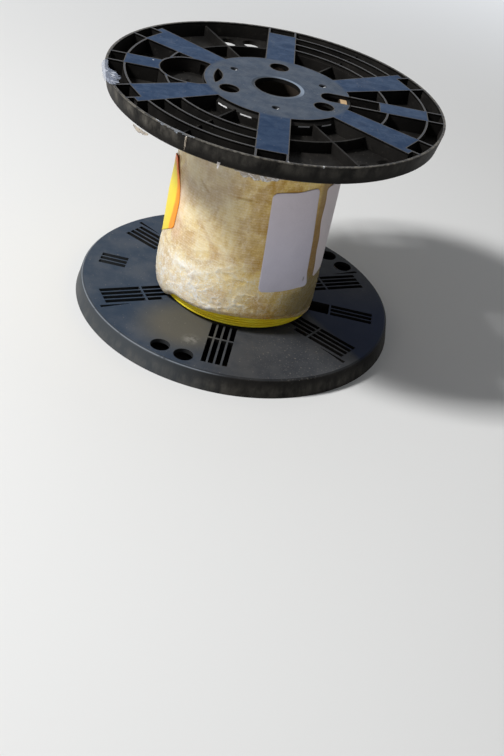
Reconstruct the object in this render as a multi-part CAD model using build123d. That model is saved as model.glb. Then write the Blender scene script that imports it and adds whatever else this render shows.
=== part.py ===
from build123d import *
import math
import os

# A reel of thin cable: two ribbed moulded flanges on a fibre tube, the winding, its wrap and its labels.
# The origin is on the axis at the bottom, and +Z runs along the axis, up through the reel.
# Each flange is made in its own frame: inner face at z = 0, outer side up, cable slot along +X.

# Reel
overall_width = 228.6
flange_diameter = 304.8
bottom_flange_turn = -5.0

# Flange section
flange_thickness = 17.4
web_thickness = 4.0
plate_thickness = 3.6
rim_wall = 2.2
rim_draft = 3.4
rim_bevel = 1.8
rib_wall = 1.8

# Fibre tube between the flanges
core_diameter = 127.0
core_wall = 6.35
seat_clearance = 0.3

# Hub
hub_radius = 66.0
socket_wall = 4.4
hub_bevel = 2.1
arbor_diameter = 41.3
drive_circle_radius = 48.3
drive_hole_diameter = 17.5
drive_hole_angles = [90, 210, 330]
screw_circle_radius = 46.8
screw_angles = [30, 150, 270]
screw_sink_diameter = 7.2
screw_sink_depth = 1.9

# Cable slot on the +X side
slot_width = 18.3
slot_end_radius = 92.2

# Round pocket on the -X side
pocket_offset = 77.3
pocket_radius = 29.7
pocket_boss_radius = 14.8
pocket_boss_height = 3.2
hub_strip_width = 9.0

# Wide pads
pad_end_radius = 136.4
pad_slot_width = 4.6
pad_slot_count = 4
pad_slot_start_radius = 70.2
pad_bridge_radius = 93.4
pad_bridge_width = 2.2
straight_pad_angles = [90, 270]
flared_pad_angles = [30, 150, 210, 330]
flare_start_offset = 12.2
flare_slot_offset = 17.0
flare_slot_width = 3.7
flare_slot_start_radius = 113.5
flare_slot_stagger = 9.2
flare_end_radius = 143.0

# Narrow pads
narrow_slot_width = 5.0
narrow_slot_count = 3

# Rings and fins round the axis
inner_ring_radius = 99.2
fin_radii = [inner_ring_radius + rib_wall, 117.4, 133.2]
outer_ring_radius = pad_end_radius
radial_rib_angles = [60, 120, 240, 300]
finned_sectors = [(30, 90), (210, 270)]
side_sectors = [(-30, 30), (150, 210)]

# Pairs of round holes through the web
pair_hole_diameter = 18.0
pair_circle_radius = 134.0
pair_hole_angles = [102, 112, 307.5, 317.5]

# Cable winding
cable_diameter = 2.5
layer_count = 4
layer_pitch = 2.3
end_step_setback = 9.0

# Wrap round the winding, which sags to one side and is drawn in at its lower edge
wrap_thickness = 3.7
wrap_lean = 2.2
wrap_lean_angle = 212.0
wrap_edge_inset = 1.0
wrap_edge_height = 12.0
wrap_bottom_gap = 13.0
wrap_top_gap = 6.0

# Labels on the wrap
label_thickness = 0.3
label_height = 101.6
label_width = 50.8
label_bottom = 63.0
front_label_angle = 300.0
side_label_angle = 343.5
side_label_bottom = 66.0
sticker_height = 76.0
sticker_width = 50.8
sticker_bottom = 82.0
sticker_angle = 193.5

# Sizes that follow from these
flange_radius = flange_diameter / 2
core_radius = core_diameter / 2
core_bore_radius = core_radius - core_wall
socket_radius = core_radius + seat_clearance
socket_outer_radius = socket_radius + socket_wall
plate_underside = flange_thickness - plate_thickness
face_radius = flange_radius - rim_draft
pad_half_width = (pad_slot_count * (pad_slot_width + rib_wall) + rib_wall) / 2
narrow_half_width = (narrow_slot_count * (narrow_slot_width + rib_wall) + rib_wall) / 2
flare_half_width = flare_slot_offset + flare_slot_width / 2 + rib_wall
winding_bottom = flange_thickness + seat_clearance
winding_top = overall_width - flange_thickness - seat_clearance
winding_bore_radius = core_radius + seat_clearance
winding_radius = winding_bore_radius + cable_diameter + (layer_count - 1) * layer_pitch
wrap_bore_radius = winding_radius + seat_clearance
wrap_bottom = flange_thickness + wrap_bottom_gap
wrap_top = overall_width - flange_thickness - wrap_top_gap
wrap_radius = wrap_bore_radius + wrap_thickness


def ring(outer_radius, inner_radius):
    return Circle(outer_radius) - Circle(inner_radius)


def sector(start, end, radius):
    """A pie slice, wide enough to cut arcs of up to the given radius out of a ring."""
    reach = radius / math.cos(math.radians(end - start) / 2)
    corners = [(0, 0)]
    for angle in (start, end):
        corners.append((reach * math.cos(math.radians(angle)), reach * math.sin(math.radians(angle))))
    return make_face(Polyline(*corners, close=True))


def strip(start_radius, end_radius, offset, width):
    """A straight bar along +X, from one radius to the other, with its middle at the offset."""
    length = end_radius - start_radius
    return Pos(start_radius + length / 2, offset) * Rectangle(length, width)


def slot_offsets(count, width):
    pitch = width + rib_wall
    return [(i - (count - 1) / 2) * pitch for i in range(count)]


def polar(radius, angle):
    return Pos(radius * math.cos(math.radians(angle)), radius * math.sin(math.radians(angle)))


def flare_side(angle):
    """Which side of a flared pad leans out: always the one towards the nearest straight pad."""
    nearest = min(straight_pad_angles, key=lambda a: abs(a - angle))
    return 1 if nearest > angle else -1


def straight_pad():
    return strip(hub_radius - hub_bevel, pad_end_radius, 0, 2 * pad_half_width)


def flared_pad(side):
    start = hub_radius - hub_bevel
    ear = flare_slot_offset - flare_slot_width / 2 - rib_wall
    slope = (flare_half_width - flare_start_offset) / (flare_end_radius - hub_radius)
    corners = [
        (start, -pad_half_width * side),
        (pad_end_radius, -pad_half_width * side),
        (pad_end_radius, ear * side),
        (flare_end_radius, ear * side),
        (flare_end_radius, flare_half_width * side),
        (start, (flare_start_offset - slope * (hub_radius - start)) * side),
    ]
    return make_face(Polyline(*corners, close=True))


def narrow_pad(start_radius):
    return strip(start_radius, pad_end_radius, 0, 2 * narrow_half_width)


def pad_plates():
    plates = [Rot(0, 0, a) * straight_pad() for a in straight_pad_angles]
    plates += [Rot(0, 0, a) * flared_pad(flare_side(a)) for a in flared_pad_angles]
    plates.append(narrow_pad(slot_end_radius))
    plates.append(Rot(0, 0, 180) * narrow_pad(pocket_offset + pocket_radius - rib_wall))
    return plates


def side_walls():
    """The walls under the pads' long edges, which run on to the rim, and the walls of the cable slot."""
    walls = []
    start = pad_end_radius - rib_wall
    wide = pad_half_width - rib_wall / 2
    narrow = narrow_half_width - rib_wall / 2
    for side in (-1, 1):
        for angle in straight_pad_angles + flared_pad_angles:
            walls.append(Rot(0, 0, angle) * strip(start, flange_radius, side * wide, rib_wall))
        walls.append(strip(hub_radius, flange_radius, side * narrow, rib_wall))
        walls.append(Rot(0, 0, 180) * strip(start, flange_radius, side * narrow, rib_wall))
    return walls


def wide_pad_slots(angle):
    """Core slots under one wide pad, in two rows with a bridge between them. A flared pad has one more, a wedge."""
    slots = []
    outer_end = pad_end_radius - rib_wall
    bridge_end = pad_bridge_radius + pad_bridge_width
    side = flare_side(angle)
    for offset in slot_offsets(pad_slot_count, pad_slot_width):
        start = pad_slot_start_radius
        if angle in flared_pad_angles and offset * side > pad_half_width - rib_wall - pad_slot_width:
            start += flare_slot_stagger
        slots.append(strip(start, pad_bridge_radius, offset, pad_slot_width))
        slots.append(strip(bridge_end, outer_end, offset, pad_slot_width))
    if angle in flared_pad_angles:
        end = flare_end_radius - rib_wall
        slot = strip(flare_slot_start_radius, end, flare_slot_offset * side, flare_slot_width)
        slots.append(slot & Pos(0, -rib_wall * side) * flared_pad(side))
    return [Rot(0, 0, angle) * s for s in slots]


def narrow_pad_slots():
    slots = []
    outer_end = pad_end_radius - rib_wall
    for offset in slot_offsets(narrow_slot_count, narrow_slot_width):
        slots.append(strip(slot_end_radius + rib_wall, outer_end, offset, narrow_slot_width))
        left_start = pocket_offset + pocket_radius + rib_wall
        slots.append(Rot(0, 0, 180) * strip(left_start, outer_end, offset, narrow_slot_width))
    return slots


def core_slots():
    """All slots that are open to the inner face."""
    slots = narrow_pad_slots()
    for angle in straight_pad_angles + flared_pad_angles:
        slots += wide_pad_slots(angle)
    return Sketch() + slots


def full_height_ribs():
    """Rings, fins and walls that reach the outer plane of the flange."""
    ribs = side_walls()
    for start, end in side_sectors:
        slice_face = sector(start, end, flange_radius)
        ribs.append(ring(outer_ring_radius, outer_ring_radius - rib_wall) & slice_face)
        ribs.append(ring(inner_ring_radius + rib_wall, inner_ring_radius) & slice_face)
    for start, end in finned_sectors:
        slice_face = sector(start, end, flange_radius)
        ribs += [ring(r + rib_wall, r) & slice_face for r in fin_radii]
    ribs.append(Pos(-pocket_offset, 0) * ring(pocket_radius, pocket_radius - rib_wall))
    return ribs


def low_ribs():
    """Ribs that stop a plate's thickness below the outer plane."""
    ribs = [ring(inner_ring_radius + rib_wall, inner_ring_radius)]
    for angle in radial_rib_angles:
        ribs.append(Rot(0, 0, angle) * strip(hub_radius, flange_radius, 0, rib_wall))
    return ribs


def pocket_circle():
    return Pos(-pocket_offset, 0) * Circle(pocket_radius - rib_wall)


def cable_slot(start_radius):
    return strip(start_radius, slot_end_radius, 0, slot_width)


def hub_cuts():
    """What the plate at the outer plane leaves open: the arbor and drive holes, the slot and the pocket."""
    hub_strip = ring(hub_radius, hub_radius - hub_strip_width)
    slot_end = drive_circle_radius
    cuts = [Circle(arbor_diameter / 2), cable_slot(slot_end), Pos(slot_end, 0) * Circle(slot_width / 2)]
    cuts += [polar(drive_circle_radius, a) * Circle(drive_hole_diameter / 2) for a in drive_hole_angles]
    cuts.append(pocket_circle() - hub_strip)
    return cuts


def web_and_rim():
    """The flat web with the drafted rim wall, as one turned section."""
    inside_foot = face_radius + rim_draft * web_thickness / flange_thickness - rim_wall
    section = make_face(Polyline(
        (socket_radius, 0),
        (face_radius, 0),
        (flange_radius, flange_thickness),
        (flange_radius - rim_wall, flange_thickness),
        (inside_foot, web_thickness),
        (socket_radius, web_thickness),
        close=True,
    ))
    outer_corner = section.vertices().sort_by_distance((face_radius, 0))[0]
    return revolve(Plane.XZ * chamfer(outer_corner, rim_bevel), Axis.Z)


def envelope():
    """The outer form of the flange, which every rib ends in."""
    section = make_face(Polyline(
        (0, 0),
        (face_radius - rim_wall / 2, 0),
        (flange_radius - rim_wall / 2, flange_thickness),
        (0, flange_thickness),
        close=True,
    ))
    return revolve(Plane.XZ * section, Axis.Z)


def hub_socket():
    """The wall that holds the tube, bevelled up to the edge of the hub plate."""
    bevel_top = plate_underside + hub_bevel / 2
    section = make_face(Polyline(
        (socket_radius, 0),
        (socket_outer_radius, 0),
        (socket_outer_radius, bevel_top - (socket_outer_radius - hub_radius)),
        (hub_radius, bevel_top),
        (socket_radius, bevel_top),
        close=True,
    ))
    return revolve(Plane.XZ * section, Axis.Z)


def screw_sinks():
    """Countersinks in the hub plate, and one in the boss of the round pocket."""
    mouth = screw_sink_diameter / 2
    hung = (Align.CENTER, Align.CENTER, Align.MAX)
    sink = Cone(mouth - screw_sink_depth, mouth, screw_sink_depth, align=hung)
    sinks = [polar(screw_circle_radius, a) * Pos(0, 0, flange_thickness) * sink for a in screw_angles]
    sinks.append(Pos(-pocket_offset, 0, web_thickness + pocket_boss_height) * sink)
    return sinks


def flange():
    slots = core_slots()
    plates = pad_plates()
    tall = full_height_ribs()
    outside_core = ring(flange_radius, socket_radius)
    pocket = pocket_circle()

    hub_plate = Circle(hub_radius)
    high_level = Sketch() + hub_plate + plates + tall - hub_cuts() - cable_slot(hub_radius - rib_wall)
    low_level = (Sketch() + plates + tall + low_ribs() - pocket) & outside_core
    low_level = low_level - slots - cable_slot(socket_radius - rib_wall)

    ribs = extrude(Pos(0, 0, plate_underside) * high_level, plate_thickness)
    ribs += extrude(Pos(0, 0, web_thickness / 2) * low_level, plate_underside - web_thickness / 2)
    body = (ribs & envelope()) + web_and_rim()
    body += hub_socket() - extrude(Pos(0, 0, web_thickness) * pocket, plate_underside - web_thickness)
    boss = Circle(pocket_boss_radius) & Pos(pocket_offset, 0) * outside_core
    body += Pos(-pocket_offset, 0, web_thickness / 2) * extrude(boss, web_thickness / 2 + pocket_boss_height)

    pair_holes = [polar(pair_circle_radius, a) * Circle(pair_hole_diameter / 2) for a in pair_hole_angles]
    body -= extrude(slots, web_thickness)
    body -= extrude(Sketch() + pair_holes, web_thickness)
    body -= extrude(cable_slot(core_bore_radius), plate_underside)
    for sink in screw_sinks():
        body -= sink
    return body


def core_tube():
    """The tube ends against the underside of each hub plate."""
    length = overall_width - 2 * plate_thickness
    tube = Cylinder(core_radius, length) - Cylinder(core_bore_radius, length)
    return Pos(0, 0, overall_width / 2) * tube


def cable_winding():
    """One turned solid: the first layer of cable reaches the flanges, and the others end short of them."""
    first_layer_radius = winding_bore_radius + cable_diameter
    lower_step = winding_bottom + end_step_setback
    upper_step = winding_top - end_step_setback
    section = make_face(Polyline(
        (winding_bore_radius, winding_bottom),
        (first_layer_radius, winding_bottom),
        (first_layer_radius, lower_step),
        (winding_radius, lower_step),
        (winding_radius, upper_step),
        (first_layer_radius, upper_step),
        (first_layer_radius, winding_top),
        (winding_bore_radius, winding_top),
        close=True,
    ))
    return revolve(Plane.XZ * section, Axis.Z)


def leaned(shape):
    """Moves a turned shape off the axis, to the side that the wrap sags to."""
    return polar(wrap_lean, wrap_lean_angle) * shape


def bubble_wrap():
    """A sleeve round the winding, with its bore on the axis and its outside a little off it."""
    section = make_face(Polyline(
        (0, wrap_bottom),
        (wrap_radius - wrap_edge_inset, wrap_bottom),
        (wrap_radius, wrap_bottom + wrap_edge_height),
        (wrap_radius, wrap_top),
        (0, wrap_top),
        close=True,
    ))
    bore = Pos(0, 0, wrap_bottom) * extrude(Circle(wrap_bore_radius), wrap_top - wrap_bottom)
    return leaned(revolve(Plane.XZ * section, Axis.Z)) - bore


def curved_label(width, height, bottom, angle):
    """A label bent round the wrap, clear of it by the seat clearance."""
    inside = wrap_radius + seat_clearance
    outside = inside + label_thickness
    half_span = math.degrees(width / inside) / 2
    face = ring(outside, inside) & sector(angle - half_span, angle + half_span, outside)
    return leaned(extrude(Pos(0, 0, bottom) * face, height))


os.makedirs("parts", exist_ok=True)
moulding = flange()
turned_over = Rot(0, 0, bottom_flange_turn) * Rot(180, 0, 0) * moulding
pieces = {
    "top_flange": Pos(0, 0, overall_width - flange_thickness) * moulding,
    "bottom_flange": Pos(0, 0, flange_thickness) * turned_over,
    "core_tube": core_tube(),
    "cable_winding": cable_winding(),
    "bubble_wrap": bubble_wrap(),
    "front_label": curved_label(label_width, label_height, label_bottom, front_label_angle),
    "side_label": curved_label(label_width, label_height, side_label_bottom, side_label_angle),
    "lot_sticker": curved_label(sticker_width, sticker_height, sticker_bottom, sticker_angle),
}
for name, shape in pieces.items():
    export_step(shape, f"parts/{name}.step")
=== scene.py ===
"""Looks of a reel of thin yellow cable: moulded flanges, fibre tube, turns of cable, film and labels."""
import math
from types import SimpleNamespace

import bpy
import numpy as np
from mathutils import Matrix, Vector, noise


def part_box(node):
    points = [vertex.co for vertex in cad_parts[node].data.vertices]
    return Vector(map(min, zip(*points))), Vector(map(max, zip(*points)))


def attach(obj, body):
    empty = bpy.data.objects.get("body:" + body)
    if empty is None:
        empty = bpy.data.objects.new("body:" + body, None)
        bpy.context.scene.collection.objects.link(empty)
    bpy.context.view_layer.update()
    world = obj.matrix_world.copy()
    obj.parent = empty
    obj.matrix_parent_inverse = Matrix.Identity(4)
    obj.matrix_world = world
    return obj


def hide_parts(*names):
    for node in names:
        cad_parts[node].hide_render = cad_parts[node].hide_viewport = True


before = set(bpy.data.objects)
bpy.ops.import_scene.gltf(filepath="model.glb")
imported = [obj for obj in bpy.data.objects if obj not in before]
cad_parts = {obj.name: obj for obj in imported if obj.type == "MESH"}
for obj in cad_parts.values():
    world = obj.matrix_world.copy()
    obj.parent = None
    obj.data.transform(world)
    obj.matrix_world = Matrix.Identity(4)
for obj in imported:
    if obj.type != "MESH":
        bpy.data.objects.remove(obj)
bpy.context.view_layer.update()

MM = 0.001

# Places from the frame, in metres
flange_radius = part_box("top_flange")[1].x
reel_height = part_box("top_flange")[1].z
lower_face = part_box("bottom_flange")[1].z
tube_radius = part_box("core_tube")[1].x
winding_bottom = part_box("cable_winding")[0].z
winding_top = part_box("cable_winding")[1].z
winding_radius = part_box("cable_winding")[1].x
film_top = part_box("bubble_wrap")[1].z

# Cable
cable_diameter = 2.5 * MM
jacket_share = 0.96
layer_count = 4
layer_setback = 0.7 * MM
first_layer_gap = 0.3 * MM
layer_end_gap = 0.2 * MM
hidden_layer_turns = 5
turn_wander = 0.35 * MM
wander_scale = 24.0
steps_per_turn = 72
section_sides = 8

# Bubble film round the winding
film_columns = 520
film_rows = 165
film_clearance = 0.45 * MM
film_hem = 10.8 * MM
hem_high_azimuth = 291
hem_left_azimuth = 200
hem_right_azimuth = 350
film_bulge = 6.6 * MM
film_bulge_azimuth = 206.0
film_bulge_height = 46.0 * MM
film_lining = 0.12 * MM
crease_depth = 0.42 * MM
fold_height = 0.15 * MM
ridge_height = 0.5 * MM
ridge_width = 3.0 * MM
pinch_depth = 0.35 * MM
pinch_width = 0.9 * MM
bubble_pitch = 6.2 * MM
bubble_height = 0.45 * MM

# The film's long ridge and its two pinches, with first and last azimuth in degrees
ridge_span = (220, 256)
ridge_foot = 65 * MM
ridge_foot_azimuth = 228
ridge_climb = 0.0165 * MM
pinch_span = (259, 265)
pinch_level = 152 * MM
slant_span = (229, 235)
slant_level = 150 * MM
slant_middle = 232
slant_drop = 0.9 * MM

# Places of wear, dust, painted light, painted shadow and painted glints on the flanges, with azimuths in
# degrees
arbor_radius = 20.65 * MM
hub_edge = (62 * MM, 68 * MM)
rim_draft = 3.4 * MM
tool_mark_pitch = 2.6 * MM
shadow_turn = math.radians(38.3)
shadow_edge = (37 * MM, 46 * MM)
screw_circle_radius = 46.8 * MM
screw_azimuths = (30, 150, 270)
glint_from_screw = (2.0 * MM, 0.6 * MM)
glint_depth = 1.6 * MM
socket_glint_azimuths = (228.7, 249.2, 292.3, 311.7)
socket_glint_half_width = 4.4
dust_and_sheen_patch = (-45 * MM, -82 * MM, lower_face)
speckled_patch = (60 * MM, -105 * MM, lower_face)
dent_highlight_patch = (-35 * MM, -102 * MM, lower_face)
top_glint_depth = 0.6 * MM

# The same, in mm
lip_highlight_radii = (20.8, 24.0)
socket_glint_radii = (66.2, 69.0)
socket_glint_levels = (222.6, 223.6)
top_glints = ((13.8, -149.5), (42.0, -145.6), (-112.0, 6.7))

# Labels. Corners are azimuth in degrees and height in mm, from lower left, anticlockwise
label_size = (50.8 * MM, 101.6 * MM)
sticker_size = (50.8 * MM, 80 * MM)
front_corners = ((282.3, 62.6), (322.0, 62.4), (314.2, 165.0), (278.9, 161.6))
side_corners = ((330.0, 66.0), (363.5, 72.0), (358.5, 166.0), (322.5, 163.0))
sticker_corners = ((174.0, 60.0), (211.3, 92.5), (195.5, 155.5), (160.0, 136.0))
label_thickness = 0.22 * MM
label_stand_off = 0.22 * MM
label_wave = 0.18 * MM
label_corner = 4.5 * MM
label_pitch = 1.0 * MM

# Where labels press the film flat: first and last azimuth in degrees, lowest and highest level in mm.
# The film comes free over the next few degrees and mm
pressed_zones = ((279, 319, 63, 167), (322, 362, 65, 167), (169, 212, 81, 161))
freeing_turn = 4
freeing_height = 5

# The front label's crease and the sticker's peeled corner, as seen from the label's lower left corner
crease_foot = 39 * MM
crease_slope = 0.8
crease_lift = 0.09 * MM
mark_place = (46.5 * MM, 8 * MM)
mark_direction = (0.25, 0.97)
mark_length = 2.2 * MM
mark_width = 0.8 * MM
peel_place = (34 * MM, 62 * MM)
peel_direction = (0.6, 0.8)
peel_lift = 0.025 * MM

# Loose strips of film
frill_profile = ((77.6 * MM, 182.0 * MM), (78.8 * MM, 177.0 * MM), (79.0 * MM, 172.2 * MM))
strip_rows = 10
strip_pitch = 0.8 * MM
fewest_strip_columns = 6
strip_thickness = 0.08 * MM
crumple_scale = 210

# The photograph's view
camera_place = (-0.04502, -1.04376, 0.64178)
camera_turn = (58.633, -11.115, 1.766)
sensor_width = 36.0
focal_length = 59.759
frame_shift = (-0.0399, -0.1101)

# Stage
floor_reach = 4.0
floor_level = -0.2 * MM
sky_strength = 0.95
dim_sky_strength = 0.13

# Colours, linear, with alpha. A pair holds the two ends of a mottled colour
sky_colour = (0.93, 0.96, 1.0, 1)
floor_grey = (0.80, 0.80, 0.79, 1)
floor_painted_shade = (0.02, 0.02, 0.02, 1)
plastic_black = ((0.0080, 0.0076, 0.0072, 1), (0.020, 0.0185, 0.0170, 1))
plastic_painted_sky_reflection = ((0.0120, 0.031, 0.073, 1), (0.050, 0.080, 0.138, 1))
plastic_dim_front_reflection = (0.0070, 0.022, 0.058, 1)
plastic_hub = ((0.055, 0.069, 0.090, 1), (0.096, 0.110, 0.128, 1))
plastic_thin_top_highlight = (0.086, 0.081, 0.075, 1)
plastic_lip_highlight = (0.24, 0.29, 0.36, 1)
plastic_cool = ((0.032, 0.048, 0.075, 1), (0.058, 0.072, 0.096, 1))
plastic_neutral = ((0.040, 0.043, 0.049, 1), (0.060, 0.062, 0.066, 1))
plastic_dust_and_sheen = (0.115, 0.107, 0.086, 1)
plastic_dent_highlight = (0.30, 0.29, 0.26, 1)
plastic_painted_shadow = (0.005, 0.012, 0.036, 1)
plastic_worn_edge_and_highlight = (0.046, 0.043, 0.039, 1)
plastic_painted_lit_side = (0.062, 0.069, 0.076, 1)
plastic_edge_highlight = (0.26, 0.29, 0.33, 1)
pale_dust = (0.26, 0.24, 0.205, 1)
socket_glint_white = (0.95, 0.95, 0.95, 1)
top_glint_white = (0.70, 0.72, 0.75, 1)
glint_white = (0.85, 0.87, 0.90, 1)
fibre_brown = ((0.40, 0.25, 0.12, 1), (0.66, 0.47, 0.27, 1))
fibre_blotch = (0.5, 0.36, 0.2, 1)
fibre_painted_shade = (0.035, 0.024, 0.015, 1)
jacket_yellow = ((0.98, 0.75, 0.015, 1), (1.0, 0.86, 0.05, 1))
jacket_grime = (0.45, 0.30, 0.04, 1)
film_gold = ((0.66, 0.37, 0.050, 1), (1.0, 0.72, 0.18, 1))
film_white = ((1.0, 0.94, 0.80, 1), (0.96, 0.945, 0.91, 1))
film_warm = (1.0, 0.58, 0.44, 1)
film_dull = (0.50, 0.465, 0.40, 1)
film_in_shade = ((0.185, 0.145, 0.062, 1), (0.34, 0.19, 0.052, 1))
# The front label's white paper, darkened and tinted lilac as painted blue shade.
front_paper_painted_shade = ((0.63, 0.60, 0.70, 1), (0.72, 0.69, 0.79, 1))
side_paper = ((0.70, 0.63, 0.645, 1), (0.78, 0.71, 0.72, 1))
paper_high_up = (0.78, 0.68, 0.70, 1)
paper_grime = (0.56, 0.52, 0.50, 1)
paper_crease_shade = (0.20, 0.17, 0.17, 1)
sticker_yellow = ((0.80, 0.62, 0.020, 1), (0.87, 0.71, 0.03, 1))
sticker_orange = ((0.95, 0.31, 0.005, 1), (0.88, 0.15, 0.005, 1))
scrap_hazy = ((0.26, 0.30, 0.40, 1), (0.60, 0.63, 0.70, 1))
scrap_soiled = ((0.20, 0.16, 0.12, 1), (0.46, 0.40, 0.32, 1))
scrap_white = ((0.60, 0.57, 0.56, 1), (0.84, 0.83, 0.85, 1))
scrap_faint = ((0.42, 0.48, 0.58, 1), (0.92, 0.92, 0.92, 1))


class Field:
    """A node's output in a tree. Arithmetic on it adds Math nodes to that tree."""

    def __init__(self, tree, socket):
        self.tree = tree
        self.socket = socket

    def math(self, operation, *others):
        node = self.tree.nodes.new("ShaderNodeMath")
        node.operation = operation
        for slot, value in zip(node.inputs, (self, *others)):
            plug(self.tree, slot, value)
        return Field(self.tree, node.outputs[0])

    def __add__(self, other):
        return self.math("ADD", other)

    def __sub__(self, other):
        return self.math("SUBTRACT", other)

    def __rsub__(self, other):
        return self.math("MULTIPLY", -1.0).math("ADD", other)

    def __mul__(self, other):
        return self.math("MULTIPLY", other)

    __radd__ = __add__
    __rmul__ = __mul__


def plug(tree, slot, value):
    if isinstance(value, Field):
        tree.links.new(value.socket, slot)
    else:
        slot.default_value = value


class Graph:
    """A node tree under construction, of a material, of the world or of Geometry Nodes."""

    def __init__(self, tree):
        self.tree = tree
        tree.nodes.clear()

    def node(self, kind, settings=None, sockets=None, output=0):
        """Adds a node: its settings first, then its sockets' values or links. Gives one of its outputs."""
        node = self.tree.nodes.new(kind)
        for name, value in (settings or {}).items():
            setattr(node, name, value)
        for name, value in (sockets or {}).items():
            plug(self.tree, node.inputs[name], value)
        return Field(self.tree, node.outputs[output]) if node.outputs else None


class Finish(Graph):
    """A material under construction, with the patterns that the finishes share."""

    def __init__(self, name):
        self.material = bpy.data.materials.new(name)
        self.material.use_nodes = True
        super().__init__(self.material.node_tree)
        self.place = self.node("ShaderNodeTexCoord", output="Object")

    def noise(self, scale, detail=3.0, roughness=0.5, stretch=(1, 1, 1), distortion=0.0):
        """Smooth noise, with the scale in features per metre."""
        place = self.node("ShaderNodeMapping", {}, {"Vector": self.place, "Scale": stretch}, "Vector")
        sockets = {"Vector": place, "Scale": scale, "Detail": detail, "Roughness": roughness}
        sockets["Distortion"] = distortion
        return self.node("ShaderNodeTexNoise", {}, sockets, "Fac")

    def band(self, value, low, high):
        """A mask that rises from 0 at low to 1 at high."""
        settings = {"interpolation_type": "SMOOTHSTEP"}
        sockets = {"Value": value, "From Min": low, "From Max": high}
        return self.node("ShaderNodeMapRange", settings, sockets, "Result")

    def mix(self, mask, first, second):
        """Mixes two colours, through those of the Mix node's sockets that are for colours."""
        factor, a, b, result = 0, 6, 7, 2
        return self.node("ShaderNodeMix", {"data_type": "RGBA"}, {factor: mask, a: first, b: second}, result)

    def bump(self, height, strength, distance):
        sockets = {"Height": height, "Strength": strength, "Distance": distance}
        return self.node("ShaderNodeBump", {}, sockets, "Normal")

    def along(self, axis):
        """The place's coordinate along an axis."""
        return self.node("ShaderNodeSeparateXYZ", {}, {"Vector": self.place}, axis)

    def up(self):
        """How far the surface faces upwards, from -1 to 1."""
        normal = self.node("ShaderNodeNewGeometry", output="Normal")
        return self.node("ShaderNodeSeparateXYZ", {}, {"Vector": normal}, "Z")

    def from_axis(self):
        """Distance from the reel's axis."""
        settings = {"operation": "MULTIPLY"}
        flat = self.node("ShaderNodeVectorMath", settings, {0: self.place, 1: (1, 1, 0)}, "Vector")
        return self.node("ShaderNodeVectorMath", {"operation": "LENGTH"}, {0: flat}, "Value")

    def depth_inside(self, reach):
        """How solid the piece is below the surface: low on thin walls and along edges, 1 on broad faces."""
        settings = {"inside": True, "only_local": True, "samples": 8}
        return self.node("ShaderNodeAmbientOcclusion", settings, {"Distance": reach}, "AO")

    def shell(self, value, low, high):
        """A mask between two distances in mm, with soft ends."""
        soft = 0.2
        outer = 1.0 - self.band(value, high * MM, (high + soft) * MM)
        return self.band(value, (low - soft) * MM, low * MM) * outer

    def arcs(self, azimuths, half_width):
        """A mask of short arcs round the axis, at azimuths in degrees."""
        turn = self.along("Y").math("ARCTAN2", self.along("X")) * (180 / math.pi)
        mask = None
        soft = 0.5
        for azimuth in azimuths:
            away = (turn - (azimuth - 360 if azimuth > 180 else azimuth)).math("ABSOLUTE")
            arc = 1.0 - self.band(away, half_width - soft, half_width + soft)
            mask = arc if mask is None else mask + arc
        return mask

    def near(self, point, inner, outer):
        """A mask round a point: 1 within the inner distance, 0 beyond the outer one."""
        settings = {"operation": "DISTANCE"}
        away = self.node("ShaderNodeVectorMath", settings, {0: self.place, 1: point}, "Value")
        return 1.0 - self.band(away, inner, outer)

    def attribute(self, name):
        return self.node("ShaderNodeAttribute", {"attribute_name": name}, {}, "Fac")

    def principled(self, **sockets):
        names = {key.replace("_", " ").title().replace("Ior", "IOR"): value for key, value in sockets.items()}
        return self.node("ShaderNodeBsdfPrincipled", {}, names, "BSDF")

    def done(self, shader):
        """The material, with a shader for its surface."""
        self.node("ShaderNodeOutputMaterial", {}, {"Surface": shader})
        return self.material


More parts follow.
